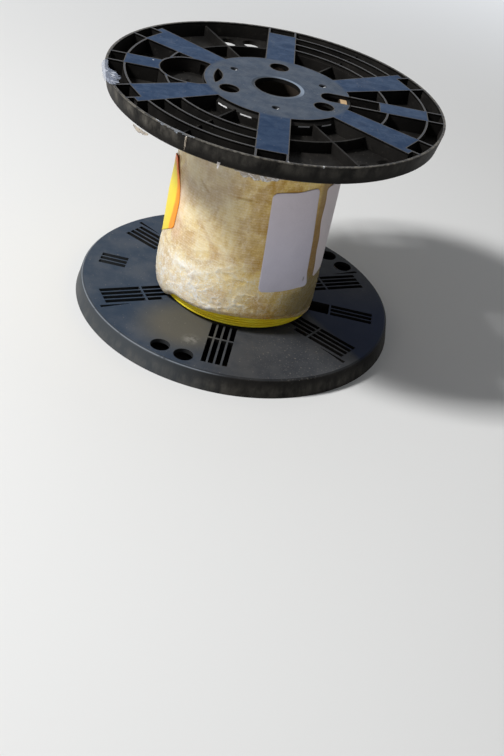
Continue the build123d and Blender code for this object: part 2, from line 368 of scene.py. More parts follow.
class FlangeFinish(Finish):
    """The flanges' plastic, with masks of its zones: the top, the lower inner face, the hub and the rims."""

    def __init__(self):
        super().__init__("moulded_plastic")
        self.x = self.along("X")
        self.y = self.along("Y")
        self.level = self.along("Z")
        self.radius = self.from_axis()
        self.blotches = self.noise(28.0, 5.0, 0.6)
        self.facing = self.band(self.up(), 0.6, 0.95)
        self.top = self.band(self.level, reel_height - 1.6 * MM, reel_height - 0.8 * MM)
        above = self.band(self.level, lower_face + 1 * MM, lower_face + 4 * MM)
        self.low = self.band(self.level, lower_face - 1.6 * MM, lower_face - 0.8 * MM) * (1.0 - above)
        self.lower_side = 1.0 - self.band(self.level, lower_face - 0.6 * MM, lower_face)
        self.hub = 1.0 - self.band(self.radius, *hub_edge)
        # Painted shadow: where the upper flange and the winding shade the lower face, to the right.
        across = self.x * math.cos(shadow_turn) + self.y * math.sin(shadow_turn)
        self.painted_shadow = self.band(across, *shadow_edge) * (1.0 - self.band(self.y, -20 * MM, 100 * MM))

    def top_colour(self):
        """The upper faces: a painted sky reflection in blue, dimmer at the front, greyer on the hub, with
        painted highlights on thin ribs and on one side of the arbor lip.
        """
        wiped = self.band(self.noise(55.0, 5.0, 0.7, stretch=(0.3, 1, 1), distortion=0.8), 0.35, 0.7)
        patches = self.band(self.noise(95.0, 5.0, 0.75, distortion=0.4), 0.38, 0.66)
        # Painted reflection: the sky's blue on the upper faces, dimmer at the front.
        colour = self.mix(wiped * 0.5 + patches * 0.5, *plastic_painted_sky_reflection)
        at_front = 1.0 - self.band(self.y, -90 * MM, -60 * MM)
        colour = self.mix(at_front * 0.35, colour, plastic_dim_front_reflection)
        mottled = self.mix(self.band(self.noise(75.0, 5.0, 0.7), 0.35, 0.65), *plastic_hub)
        colour = self.mix(self.hub * 0.7, colour, mottled)
        # Painted highlight: pale lines on the tops of thin ribs and along edges.
        thin_tops = 1.0 - self.band(self.depth_inside(1.3 * MM), 0.70, 0.96)
        colour = self.mix(thin_tops, colour, plastic_thin_top_highlight)
        # Painted highlight on the arbor lip, strongest on the side that faces the key light.
        key_lit_side = self.band(self.x * 0.8 + self.y * 0.6, 4 * MM, 20 * MM)
        lip = self.shell(self.radius, *lip_highlight_radii) * (0.12 + key_lit_side * 0.6)
        return self.mix(lip, colour, plastic_lip_highlight)

    def low_colour(self):
        """The lower flange's inner face: cool at the left, dust with a painted sheen at the front, a painted
        highlight of a dent, and a painted shadow at the right.
        """
        mottle = self.band(self.blotches, 0.35, 0.65)
        cool = self.mix(mottle, *plastic_cool)
        neutral = self.mix(mottle, *plastic_neutral)
        colour = self.mix(self.band(self.x, -70 * MM, 20 * MM), cool, neutral)
        # Dust at the front, which also carries a painted sunlit sheen.
        colour = self.mix(self.near(dust_and_sheen_patch, 15 * MM, 55 * MM) * 0.9, colour, plastic_dust_and_sheen)
        # Painted highlight: the shine of a small dent, broken up.
        broken = self.band(self.noise(150.0, 3.0, 0.6), 0.35, 0.60)
        dent_highlight = self.near(dent_highlight_patch, 1 * MM, 11 * MM) * broken
        colour = self.mix(dent_highlight * 0.55, colour, plastic_dent_highlight)
        # The painted shadow at the right of the lower face.
        return self.mix(self.painted_shadow, colour, plastic_painted_shadow)

    def edge(self):
        """A mask of the rims' upper edges: wear on the upper rim, and at half strength a painted highlight on
        the lower one.
        """
        upper = self.band(self.radius, flange_radius - 2.4 * MM, flange_radius - 1.4 * MM)
        upper = upper * self.band(self.level, reel_height - 1.6 * MM, reel_height - 0.4 * MM)
        lower = self.band(self.radius, flange_radius - 3.4 * MM, flange_radius - 1.2 * MM) * self.low
        return upper + lower * 0.5

    def rim_colour(self, colour, edge):
        """Adds the rims' pale edges, worn on the upper rim and a painted highlight on the lower one, with
        painted light on the lower rim's left side and a painted highlight line along its edge at the left.
        """
        # Pale edges: wear on the upper rim, a painted highlight on the lower one.
        colour = self.mix(edge * 0.8, colour, plastic_worn_edge_and_highlight)
        # Painted light: the lower rim's side is paler and bluer at the left, where the key light falls.
        at_left = 1.0 - self.band(self.x * 0.9 + self.y * 0.436, -136 * MM, -50 * MM)
        colour = self.mix(self.lower_side * at_left * 0.9, colour, plastic_painted_lit_side)
        # Painted highlight: a broken pale line along the lower face's rounded edge, at the left.
        face_edge = flange_radius - rim_draft
        line = self.band(self.radius, face_edge - 1.2 * MM, face_edge - 0.6 * MM) * self.low
        line = line * (1.0 - self.band(self.radius, face_edge + 0.2 * MM, face_edge + 0.6 * MM))
        broken = self.band(self.noise(120.0, 3.0, 0.6), 0.25, 0.45)
        line = line * self.band(at_left, 0.02, 0.4) * broken
        return self.mix(line * 0.8, colour, plastic_edge_highlight)

    def dust(self, edge):
        """A mask of dust: specks and scuffs on the faces, grit on the edges and dirt on the rims' sides."""
        specks = self.band(self.noise(480.0, 2.0, 0.5), 0.70, 0.75)
        more_specks = self.band(self.noise(520.0, 2.0, 0.5), 0.64, 0.69)
        more_specks = more_specks * self.near(speckled_patch, 15 * MM, 60 * MM)
        scuffs = self.band(self.noise(170.0, 4.0, 0.7, stretch=(1, 0.25, 1)), 0.57, 0.72)
        thin = self.band(self.blotches, 0.5, 0.8)
        dust = self.facing * (thin * 0.05 + specks * 0.5 + more_specks * 0.5) + scuffs * 0.05
        dust = dust * (1.0 - self.painted_shadow * self.low)
        dust = dust + edge * self.band(self.noise(260.0, 4.0, 0.6), 0.40, 0.62) * 0.5
        side = (1.0 - self.facing) * self.band(self.radius, flange_radius - 3 * MM, flange_radius - 1 * MM)
        at_left = 1.0 - self.band(self.x, -120 * MM, 0.0)
        amount = 0.19 + 0.24 * at_left * (1.0 - self.lower_side)
        runs = self.band(self.noise(90.0, 4.0, 0.6, stretch=(1, 1, 0.4)), 0.35, 0.75)
        return dust + side * runs * amount

    def small_marks(self, colour):
        """Adds painted glints: short bright arcs on the bevel of the hub's socket, a few small ones on the
        top and rim, and those in the countersinks.
        """
        # Painted glints of the key light on the socket's bevel.
        socket_glints = self.arcs(socket_glint_azimuths, socket_glint_half_width) * self.shell(self.radius, *socket_glint_radii)
        colour = self.mix(socket_glints * self.shell(self.level, *socket_glint_levels), colour, socket_glint_white)
        # Painted glints on the upper rim and the top face.
        for x, y in top_glints:
            top_glint = self.near((x * MM, y * MM, reel_height - top_glint_depth), 0.5 * MM, 1.3 * MM)
            colour = self.mix(top_glint, colour, top_glint_white)
        # Painted glints in the countersinks.
        for azimuth in screw_azimuths:
            x = screw_circle_radius * math.cos(math.radians(azimuth)) + glint_from_screw[0]
            y = screw_circle_radius * math.sin(math.radians(azimuth)) + glint_from_screw[1]
            glint = self.near((x, y, reel_height - glint_depth), 0.6 * MM, 1.5 * MM)
            colour = self.mix(glint, colour, glint_white)
        return colour

    def relief(self):
        """Heights for the bump: grain, the hub's turning marks, and the rounding of arbor lip and low rim."""
        grain = self.noise(2200.0, 2.0, 0.6) * 0.4 + self.noise(350.0, 3.0, 0.6) * 0.6
        lip = self.band(self.radius, arbor_radius - 0.5 * MM, arbor_radius + 3.6 * MM) * self.top
        rings = (self.radius * (2 * math.pi / tool_mark_pitch)).math("SINE") * self.hub * self.top
        outer = self.band(self.radius, flange_radius - 3.0 * MM, flange_radius + 1.5 * MM) * self.low
        return grain * (0.05 * MM) + lip * (2.0 * MM) + rings * (0.03 * MM) - outer * (3.0 * MM)


def moulded_plastic():
    """Black moulded plastic: bluish on the flat faces that see the sky, a painted reflection; pale worn edges
    and dust; painted highlights, glints and a painted shadow.
    """
    f = FlangeFinish()
    edge = f.edge()
    dust = f.dust(edge)
    black = f.mix(f.band(f.blotches, 0.3, 0.7), *plastic_black)
    colour = f.mix(f.facing * f.low, black, f.low_colour())
    colour = f.mix(f.facing * f.top, colour, f.top_colour())
    colour = f.rim_colour(colour, edge)
    colour = f.mix(dust, colour, pale_dust)
    colour = f.small_marks(colour)
    roughness = 0.36 + f.noise(60.0, 4.0, 0.6) * 0.18 + dust * 0.3
    normal = f.bump(f.relief(), 1.0, 1.0)
    shader = f.principled(base_color=colour, roughness=roughness, specular_ior_level=0.035, normal=normal)
    return f.done(shader)


def fibre_board():
    """Brown fibre board, wound from paper in thin plies, with painted shade inside the bore."""
    f = Finish("fibre_board")
    fibres = f.noise(700.0, 4.0, 0.7, stretch=(1, 1, 0.25))
    colour = f.mix(fibres, *fibre_brown)
    colour = f.mix(f.band(f.noise(90.0, 3.0, 0.5), 0.45, 0.8), colour, fibre_blotch)
    # Painted shade inside the bore.
    bore_shade = 1.0 - f.band(f.from_axis(), tube_radius - 6.2 * MM, tube_radius - 5.6 * MM)
    colour = f.mix(bore_shade, colour, fibre_painted_shade)
    return f.done(f.principled(base_color=colour, roughness=0.85, normal=f.bump(fibres, 0.4, 0.3 * MM)))


def cable_jacket():
    """Smooth yellow jacket, a little darker and dusty in places."""
    f = Finish("cable_jacket")
    tone = f.noise(55.0, 4.0, 0.6, stretch=(1, 1, 3))
    colour = f.mix(f.band(tone, 0.3, 0.75), *jacket_yellow)
    grime = f.band(f.noise(420.0, 3.0, 0.6), 0.58, 0.78)
    colour = f.mix(grime * 0.2, colour, jacket_grime)
    fine = f.noise(1500.0, 2.0, 0.5)
    normal = f.bump(fine, 0.12, 0.2 * MM)
    roughness = 0.50 + fine * 0.12
    shader = f.principled(base_color=colour, roughness=roughness, specular_ior_level=0.35, normal=normal)
    return f.done(shader)


def bubble_film():
    """Clear film in layers: milky where it is creased or loose, golden where the cable shows through, with
    painted light and shade.
    """
    f = Finish("bubble_film")
    level = f.along("Z")
    haze_and_light = f.attribute("haze_and_light")
    busy = f.attribute("busy")
    soft = f.band(f.noise(46.0, 4.0, 0.55, distortion=0.5), 0.34, 0.68)
    clouds = f.band(f.noise(120.0, 4.0, 0.6, stretch=(1, 1, 1.5), distortion=0.7), 0.36, 0.70)
    upright = f.band(f.noise(230.0, 3.0, 0.6, stretch=(1, 1, 0.22)), 0.40, 0.68)
    fine = f.noise(560.0, 4.0, 0.70, distortion=0.6)
    glints = f.band(fine * 0.6 + f.noise(240.0, 3.0, 0.6, distortion=1.2) * 0.4, 0.50, 0.62)
    turn_lines = (level * (2 * math.pi / cable_diameter) + soft * 2.0).math("SINE")
    flecks = f.band(f.noise(820.0, 3.0, 0.6, distortion=0.8), 0.52, 0.66)

    milk = haze_and_light * 0.50 + soft * 0.16 + clouds * (0.10 + busy * 0.16) + upright * 0.14 - 0.16
    milk = milk + glints * (0.06 + busy * 0.36) + flecks * (0.06 + busy * 0.40)
    milk = milk + f.attribute("fold") * 0.40 + turn_lines * 0.05
    milk = milk.math("MAXIMUM", 0.0).math("MINIMUM", 1.0)
    gold = f.mix(f.band(soft * 0.5 + fine * 0.5 + busy * 0.25, 0.3, 0.85), *film_gold)
    white = f.mix(f.band(haze_and_light, 0.5, 0.9), *film_white)
    colour = f.mix(milk, gold, white)
    colour = f.mix(f.attribute("warm") * 0.28, colour, film_warm)
    colour = f.mix(f.attribute("dull") * 0.5, colour, film_dull)
    shaded = f.mix(f.band(level, 62 * MM, 80 * MM), *film_in_shade)
    colour = f.mix(f.attribute("shady") * 0.8, colour, shaded)

    alpha = (0.80 + milk * 0.19) * (1.0 - f.attribute("clear") * 0.65)
    height = (fine * 0.5 + flecks * 0.2 + clouds * 0.3) * (0.25 + busy * 0.75)
    normal = f.bump(height, 0.6, 1.2 * MM)
    return f.done(f.principled(base_color=colour, alpha=alpha, roughness=0.20 + fine * 0.22, normal=normal))


def clear_scrap(name, whiteness, colours):
    """A loose crumpled scrap of clear film: its plain colour and the one of its creases."""
    f = Finish(name)
    fine = f.noise(190.0, 2.0, 0.5, distortion=1.2)
    streak = f.band(fine, 0.62 - 0.25 * whiteness, 0.78 - 0.25 * whiteness)
    alpha = 0.14 + 0.50 * whiteness + streak * (0.40 + 0.1 * whiteness)
    colour = f.mix(streak, *colours)
    normal = f.bump(fine, 0.5, 0.6 * MM)
    return f.done(f.principled(base_color=colour, alpha=alpha, roughness=0.22, normal=normal))


def label_paper(name, colours):
    """Label paper, a little pinker high up, with soft dents, a little grime and the painted shade of a
    crease.
    """
    f = Finish(name)
    dents = f.noise(70.0, 3.0, 0.5)
    grime = f.band(f.noise(240.0, 5.0, 0.7), 0.6, 0.85)
    colour = f.mix(dents, *colours)
    colour = f.mix(f.band(f.along("Z"), 85 * MM, 160 * MM) * 0.5, colour, paper_high_up)
    colour = f.mix(grime * 0.35, colour, paper_grime)
    # Painted shade in the front label's crease.
    colour = f.mix(f.attribute("crease_shade"), colour, paper_crease_shade)
    height = dents * 0.8 + f.noise(1600.0, 3.0, 0.6) * 0.2
    return f.done(f.principled(base_color=colour, roughness=0.6, normal=f.bump(height, 0.5, 2.0 * MM)))


def sticker_paper():
    """Fluorescent yellow paper that turns orange along one edge and at its top corner."""
    f = Finish("sticker_paper")
    level = f.along("Z")
    dents = f.noise(90.0, 3.0, 0.5)
    lower = 1.0 - f.band(level, 78 * MM, 130 * MM)
    edge = f.band(f.attribute("across") + (dents - 0.5) * 0.06 + lower * 0.13, 0.89, 0.94)
    tip = f.band(level, 141 * MM, 152 * MM)
    orange = f.mix(f.band(level, 128 * MM, 150 * MM), *sticker_orange)
    colour = f.mix(tip.math("MAXIMUM", edge), f.mix(dents, *sticker_yellow), orange)
    return f.done(f.principled(base_color=colour, roughness=0.5, normal=f.bump(dents, 0.3, 1.2 * MM)))


def mesh_object(name, points, faces, material, smooth=True):
    mesh = bpy.data.meshes.new(name)
    mesh.from_pydata([tuple(p) for p in points], [], faces)
    mesh.materials.append(material)
    mesh.polygons.foreach_set("use_smooth", [smooth] * len(mesh.polygons))
    piece = bpy.data.objects.new(name, mesh)
    bpy.context.scene.collection.objects.link(piece)
    return piece


def grid_faces(columns, rows):
    """The faces of a grid whose points run row by row, with one more than the columns in each."""
    corners = [j * (columns + 1) + i for j in range(rows) for i in range(columns)]
    return [(a, a + 1, a + columns + 2, a + columns + 1) for a in corners]


def add_wall(piece, thickness, offset):
    """Gives a sheet its thickness: outwards with an offset of 1, inwards with -1."""
    wall = piece.modifiers.new("wall", "SOLIDIFY")
    wall.thickness = thickness
    wall.offset = offset


def add_attribute(piece, name, values):
    attribute = piece.data.attributes.new(name, "FLOAT", "POINT")
    attribute.data.foreach_set("value", np.asarray(values, np.float32).ravel())


def smoothstep(value, low, high):
    t = np.clip((value - low) / (high - low), 0, 1)
    return t * t * (3 - 2 * t)


def window(value, low, high, soft_low, soft_high):
    """1 between low and high, falling to 0 over the soft widths outside them."""
    return smoothstep(value, low - soft_low, low) * (1 - smoothstep(value, high, high + soft_high))


def sampled(function, points):
    return np.array([function(Vector(p)) for p in points.reshape(-1, 3)]).reshape(points.shape[:-1])


def on_cylinder(radius, azimuth, height):
    """A point from its radius in metres, azimuth in degrees and height in metres."""
    angle = np.radians(azimuth)
    level = np.broadcast_to(height, np.shape(angle))
    return np.stack([radius * np.cos(angle), radius * np.sin(angle), level], -1)


def turns_tree(material):
    """Geometry Nodes for turns of cable: a spiral, moved a little by noise, and a round section along it."""
    tree = bpy.data.node_groups.new("cable_turns", "GeometryNodeTree")
    names = ("Radius", "Turns", "Start", "Pitch", "Diameter", "Wander")
    for name in names:
        tree.interface.new_socket(name, in_out="INPUT", socket_type="NodeSocketFloat")
    tree.interface.new_socket("Geometry", in_out="OUTPUT", socket_type="NodeSocketGeometry")
    g = Graph(tree)
    given = {name: g.node("NodeGroupInput", output=name) for name in names}
    spiral = g.node("GeometryNodeCurveSpiral", {}, {
        "Resolution": steps_per_turn,
        "Rotations": given["Turns"],
        "Start Radius": given["Radius"],
        "End Radius": given["Radius"],
        "Height": given["Turns"] * given["Pitch"],
    })
    place = g.node("GeometryNodeInputPosition")
    wave = g.node("ShaderNodeTexNoise", {}, {"Vector": place, "Scale": wander_scale, "Detail": 1.0}, "Fac")
    lift = given["Start"] + (wave - 0.5) * given["Wander"]
    offset = g.node("ShaderNodeCombineXYZ", {}, {"Z": lift})
    curve = g.node("GeometryNodeSetPosition", {}, {"Geometry": spiral, "Offset": offset})
    round_section = {"Resolution": section_sides, "Radius": given["Diameter"] * 0.5}
    section = g.node("GeometryNodeCurvePrimitiveCircle", {}, round_section)
    swept = {"Curve": curve, "Profile Curve": section, "Fill Caps": True}
    tube = g.node("GeometryNodeCurveToMesh", {}, swept)
    smooth = g.node("GeometryNodeSetShadeSmooth", {}, {"Geometry": tube})
    real = g.node("GeometryNodeRealizeInstances", {}, {"Geometry": smooth})
    done = g.node("GeometryNodeSetMaterial", {}, {"Geometry": real, "Material": material})
    g.node("NodeGroupOutput", {}, {"Geometry": done})
    return tree


def grown(name, tree, **sizes):
    """The mesh that a tree makes with the given sizes, as a plain object."""
    seed = bpy.data.objects.new(name, bpy.data.meshes.new(name))
    bpy.context.scene.collection.objects.link(seed)
    modifier = seed.modifiers.new("grow", "NODES")
    modifier.node_group = tree
    sockets = {s.name: s.identifier for s in tree.interface.items_tree if s.in_out == "INPUT"}
    for size_name, size in sizes.items():
        modifier[sockets[size_name.title()]] = size
    bpy.context.view_layer.update()
    mesh = bpy.data.meshes.new_from_object(seed.evaluated_get(bpy.context.evaluated_depsgraph_get()))
    seed.modifiers.remove(modifier)
    seed.data = mesh
    return seed


def joined(name, pieces):
    """One object from several plain ones."""
    with bpy.context.temp_override(active_object=pieces[0], selected_editable_objects=pieces):
        bpy.ops.object.join()
    pieces[0].name = name
    return pieces[0]


def cable_turns():
    """The turns of cable: the outer layer whole, and the ends of the hidden layers, set back in turn."""
    tree = turns_tree(cable_jacket())
    pieces = []
    first = tube_radius + cable_diameter / 2 + first_layer_gap
    last = winding_radius - cable_diameter / 2
    for i in range(layer_count):
        radius = first + (last - first) * i / (layer_count - 1)
        low = winding_bottom + cable_diameter / 2 + i * layer_setback + layer_end_gap
        high = winding_top - cable_diameter / 2 - i * layer_setback - layer_end_gap
        if i == layer_count - 1:
            stretches = [(low, (high - low) / cable_diameter)]
        else:
            upper_start = high - hidden_layer_turns * cable_diameter
            stretches = [(low, hidden_layer_turns), (upper_start, hidden_layer_turns)]
        for j, (start, turns) in enumerate(stretches):
            sizes = {"radius": radius, "turns": float(turns), "start": start, "pitch": cable_diameter}
            sizes.update(diameter=jacket_share * cable_diameter, wander=turn_wander)
            pieces.append(grown(f"turns_{i}_{j}", tree, **sizes))
    return joined("cable_turns", pieces)


def film_low_edge(azimuth):
    """Height of the film's lower edge: highest at the front, and down to the flange at the left and right."""
    turn = np.radians(azimuth)
    wave = 3.1 * np.cos(turn - math.radians(hem_high_azimuth))
    wave = wave + 0.5 * np.cos(3 * turn - math.radians(130)) + 0.5 * np.sin(7 * turn)
    down_left = np.exp(-((azimuth - hem_left_azimuth) / 17) ** 4)
    from_right = (azimuth - hem_right_azimuth + 180) % 360 - 180
    down_right = np.exp(-(np.abs(from_right) / 36) ** 2.2)
    return lower_face + (film_hem + wave * MM) * (1 - 0.90 * down_left - 0.75 * down_right)


def film_base_radius(azimuth, height):
    """The film's radius without its creases: close to the cable at the right, and full at the left."""
    away = np.radians(azimuth - film_bulge_azimuth)
    side = (0.5 + 0.5 * np.cos(away)) ** 1.3
    above = smoothstep(height, film_bulge_height, 75 * MM)
    far_above = smoothstep(height, 105 * MM, 180 * MM)
    below = smoothstep(film_bulge_height - height, 8 * MM, 32 * MM)
    full = 1 - 0.22 * above - 0.50 * far_above - 0.55 * below
    return winding_radius + film_clearance + (0.2 + 0.5 * side) * MM + film_bulge * side * full


def label_cover(azimuth, height):
    """1 under a label, where the film is pressed flat, and 0 away from it."""
    cover = np.zeros(np.broadcast(azimuth, height).shape)
    for low, high, bottom, top in pressed_zones:
        across = window(azimuth, low, high, freeing_turn, freeing_turn)
        wrapped = window(azimuth + 360, low, high, freeing_turn, freeing_turn)
        level = window(height / MM, bottom, top, freeing_height, freeing_height)
        cover = np.maximum(cover, np.maximum(across, wrapped) * level)
    return cover


def crease_level(azimuth):
    """Height of the long crease, which sags at the front left and climbs to the right."""
    return ridge_foot + ridge_climb * np.maximum(azimuth - ridge_foot_azimuth, 0) ** 2


def film_creasing(azimuth, height, place):
    """What roughens the film: creases, folds, bubbles, the long ridge and two pinches, each about 0 to 1."""
    low_down = 1 - smoothstep(height, 60 * MM, 100 * MM)
    behind = smoothstep(np.cos(np.radians(azimuth - 60)), 0.2, 0.7)
    busy = np.clip(0.22 + 0.78 * low_down + 0.5 * behind, 0, 1)
    creases = sampled(lambda p: noise.ridged_multi_fractal(p, 0.9, 2.1, 4, 1.0, 2.0), place * (95, 95, 140))
    creases = np.clip(creases / 2.2, 0, 1)
    long_folds = sampled(noise.noise, place * (38, 38, 70))
    folds = np.clip(1 - np.abs(long_folds) * 9, 0, 1) ** 2
    cells = sampled(lambda p: noise.voronoi(p)[0][0], place / bubble_pitch)
    crushed = smoothstep(sampled(noise.noise, place * 45), -0.35, 0.3)
    bubbles = smoothstep(0.62 - cells, 0, 0.42) * (0.25 + 0.75 * crushed) * busy

    wobble = sampled(noise.noise, place * 34) * 3 * MM
    along = window(azimuth, *ridge_span, 14, 12)
    along = along * (0.45 + 0.55 * smoothstep(sampled(noise.noise, place * 90), -0.25, 0.25))
    from_ridge = np.abs(height - crease_level(azimuth) - wobble)
    ridge = along * np.exp(-(from_ridge / ridge_width) ** 1.4)
    from_pinch = height - pinch_level - wobble * 0.3
    pinch = window(azimuth, *pinch_span, 4, 5) * np.exp(-(from_pinch / pinch_width) ** 2)
    from_slant = height - slant_level + (azimuth - slant_middle) * slant_drop - wobble * 0.3
    pinch += 0.7 * window(azimuth, *slant_span, 3, 4) * np.exp(-(from_slant / pinch_width) ** 2)
    return SimpleNamespace(busy=busy, creases=creases, folds=folds, bubbles=bubbles, ridge=ridge, pinch=pinch)


def film_masks(azimuth, height, above_hem, free, creasing):
    """The film's attributes, which its finish reads, by name."""
    c = creasing
    fold = (c.creases ** 2 * 0.5 + c.folds * 0.4) * (0.25 + 0.75 * c.busy) + c.ridge - c.pinch * 0.6
    fold = np.clip(fold, -1, 1) * (0.3 + 0.7 * free)
    # Painted light: the film is milkier and paler at the left and low at the front, where the key light
    # falls, and less so under the rim and at the right.
    left = smoothstep(np.cos(np.radians(azimuth - 212)), 0.15, 0.95)
    right = smoothstep(np.cos(np.radians(azimuth - 335)), 0.5, 0.95)
    front_left = smoothstep(np.cos(np.radians(azimuth - 240)), 0.3, 0.9)
    pale_low = front_left * (1 - smoothstep(height, 45 * MM, 80 * MM))
    under_rim = smoothstep(height, 128 * MM, 165 * MM)
    haze_and_light = 0.12 + 0.55 * left * (1 - 0.4 * under_rim) - 0.25 * right
    haze_and_light = haze_and_light + 0.20 * pale_low + 0.12 * (c.bubbles - 0.3)
    clear = (1 - smoothstep(above_hem, 3 * MM, 9 * MM)) * (1 - 0.8 * left)
    warm = window(azimuth, 211.5, 213, 3.5, 11)
    warm = warm * smoothstep(height, 74 * MM, 95 * MM) * (1 - smoothstep(height, 128 * MM, 160 * MM))
    from_left = np.where(azimuth < 90, azimuth + 360, azimuth)
    shady = smoothstep(from_left, 286, 318) * (1 - smoothstep(height, 52 * MM, 72 * MM))
    shady = np.maximum(shady, smoothstep(from_left, 315, 320)) * (1 - smoothstep(from_left, 372, 400))
    shady = np.maximum(shady, 0.75 * c.pinch)
    # Painted shade: the film is greyer under the upper rim, at the front left.
    dull = smoothstep(height, 118 * MM, 150 * MM) * window(azimuth, 222, 244, 22, 24)
    masks = {"fold": fold, "haze_and_light": np.clip(haze_and_light, 0, 1), "clear": clear, "busy": c.busy, "warm": warm}
    masks.update(shady=shady, dull=dull)
    return masks


def sleeve_faces():
    """The faces of a closed sleeve: the rows of its outside, then a lower and an upper row of its lining."""
    inner_low = film_rows * film_columns
    inner_high = inner_low + film_columns
    rows = [*range(0, inner_low, film_columns)]
    loop = [(a, b) for a, b in zip(rows, rows[1:])]
    loop += [(rows[-1], inner_high), (inner_high, inner_low), (inner_low, 0)]
    faces = []
    for a, b in loop:
        for c in range(film_columns):
            d = (c + 1) % film_columns
            faces.append((a + c, a + d, b + d, b + c))
    return faces


def wrapped_film():
    """The film as one closed sleeve: creased outside, with its edges tucked in to the cable."""
    azimuth = np.arange(film_columns) * 360.0 / film_columns
    share = np.linspace(0, 1, film_rows)[:, None]
    low = film_low_edge(azimuth)[None, :]
    height = low + (film_top - low) * share
    azimuth = np.broadcast_to(azimuth[None, :], height.shape)
    base = film_base_radius(azimuth, height)
    c = film_creasing(azimuth, height, on_cylinder(base, azimuth, height))
    free = 1 - label_cover(azimuth, height)
    rise = crease_depth * (0.4 + 0.6 * c.busy) * (c.creases - 0.4) + bubble_height * c.bubbles
    rise += fold_height * (1 + c.busy) * c.folds + ridge_height * c.ridge - pinch_depth * c.pinch
    radius = base + free * rise
    tuck = np.minimum(share / 0.035, (1 - share) / 0.03).clip(0, 1)
    tucked = winding_radius + film_clearance
    radius = tucked + np.maximum(radius - tucked, 0.15 * MM) * np.sqrt(tuck * (2 - tuck)).clip(0.02, 1)

    outside = on_cylinder(radius, azimuth, height).reshape(-1, 3)
    lining = [on_cylinder(winding_radius + film_lining, azimuth[row], height[row]) for row in (0, -1)]
    piece = mesh_object("wrapped_film", np.vstack([outside, *lining]), sleeve_faces(), bubble_film())
    spare = np.zeros(2 * film_columns)
    for name, mask in film_masks(azimuth, height, height - low, free, c).items():
        add_attribute(piece, name, np.concatenate([mask.ravel(), spare]))
    return piece


def rounded(s, t, width, height, corner):
    """Moves a grid point of a rectangle so that the rectangle's corners come out round."""
    cx = min(max(s, corner), width - corner)
    cy = min(max(t, corner), height - corner)
    dx, dy = s - cx, t - cy
    if dx == 0 or dy == 0:
        return s, t
    pull = max(abs(dx), abs(dy)) / math.hypot(dx, dy)
    return cx + dx * pull, cy + dy * pull


def paper_label(name, corners, material, bow, bend, size=label_size, mark=None):
    """A label on the film.

    bow moves its outline sideways, in degrees, and up, in mm. bend lifts it off the film, in metres. mark is
    the strength of a crease's painted shade, 0 to 1.
    """
    width, height = size
    columns = round(width / label_pitch)
    rows = round(height / label_pitch)
    (a0, h0), (a1, h1), (a2, h2), (a3, h3) = corners
    points, across, crease_shade = [], [], []
    for j in range(rows + 1):
        for i in range(columns + 1):
            s, t = rounded(width * i / columns, height * j / rows, width, height, label_corner)
            u, v = s / width, t / height
            aside, rise = bow(u, v)
            azimuth = (1 - v) * ((1 - u) * a0 + u * a1) + v * ((1 - u) * a3 + u * a2) + aside
            level = ((1 - v) * ((1 - u) * h0 + u * h1) + v * ((1 - u) * h3 + u * h2) + rise) * MM
            wave = abs(noise.noise(Vector((s, t, len(name) * MM)) * 55)) * label_wave
            radius = film_base_radius(azimuth, level) + label_stand_off + wave + bend(s, t)
            points.append(on_cylinder(radius, azimuth, level))
            across.append(u)
            crease_shade.append(mark(s, t) if mark else 0.0)
    piece = mesh_object(name, points, grid_faces(columns, rows), material)
    add_attribute(piece, "across", across)
    add_attribute(piece, "crease_shade", crease_shade)
    add_wall(piece, label_thickness, 1.0)
    return piece


def flat(s, t):
    """A label that lies on the film all over."""
    return 0.0


def creased_corner(s, t):
    """The front label's lower right corner lifts along a crease."""
    beyond = (s - crease_foot - crease_slope * t) / MM
    return max(beyond, 0) ** 1.3 * crease_lift


def crease_shade_mark(s, t):
    """A short crease near that corner, dark with painted shade, 0 to 1."""
    away = Vector((s, t)) - Vector(mark_place)
    along = away.dot(mark_direction)
    aside = away.cross(mark_direction)
    return 0.95 * math.exp(-(along / mark_length) ** 4 - (aside / mark_width) ** 2)


def peeled_corner(s, t):
    """The sticker's upper right corner has come loose and curls away from the film."""
    beyond = ((s - peel_place[0]) * peel_direction[0] + (t - peel_place[1]) * peel_direction[1]) / MM
    return max(beyond, 0) ** 1.3 * peel_lift


def front_bow(u, v):
    """The front label's upper edge is a little wavy and its right edge bulges near the bottom."""
    top = max(v - 0.9, 0) / 0.1
    aside = 0.9 * u * math.sin(math.pi * v) ** 2 * (1 - v)
    return aside, top * (0.9 * math.sin(math.pi * u) + 0.5 * math.sin(9 * u))


def side_bow(u, v):
    """The side label's left edge waves, because the film under it is pulled."""
    aside = (1 - u) ** 2 * (0.8 * math.sin(7.0 * v + 0.6) + 0.5 * math.sin(17.0 * v))
    return aside, (1 - v) * 4.0 * (1 - u) * v


def sticker_bow(u, v):
    """The sticker's right edge bulges towards the front."""
    return 8.5 * u * u * math.sin(math.pi * v ** 1.2), 0.0


def torn_edge(u, columns, ragged, seed):
    """At a place along a strip, the share that is torn off it and the share that its tapering ends leave."""
    torn = 0.5 + noise.noise(Vector((u * columns * 0.16, seed * 7.0, 0)))
    torn += 0.5 * noise.noise(Vector((u * columns * 0.45, seed * 7.0, 3)))
    ends = math.sin(math.pi * min(max(u, 0.02), 0.98)) ** 0.4
    return min(max(torn, 0), 1.2) * ragged, ends


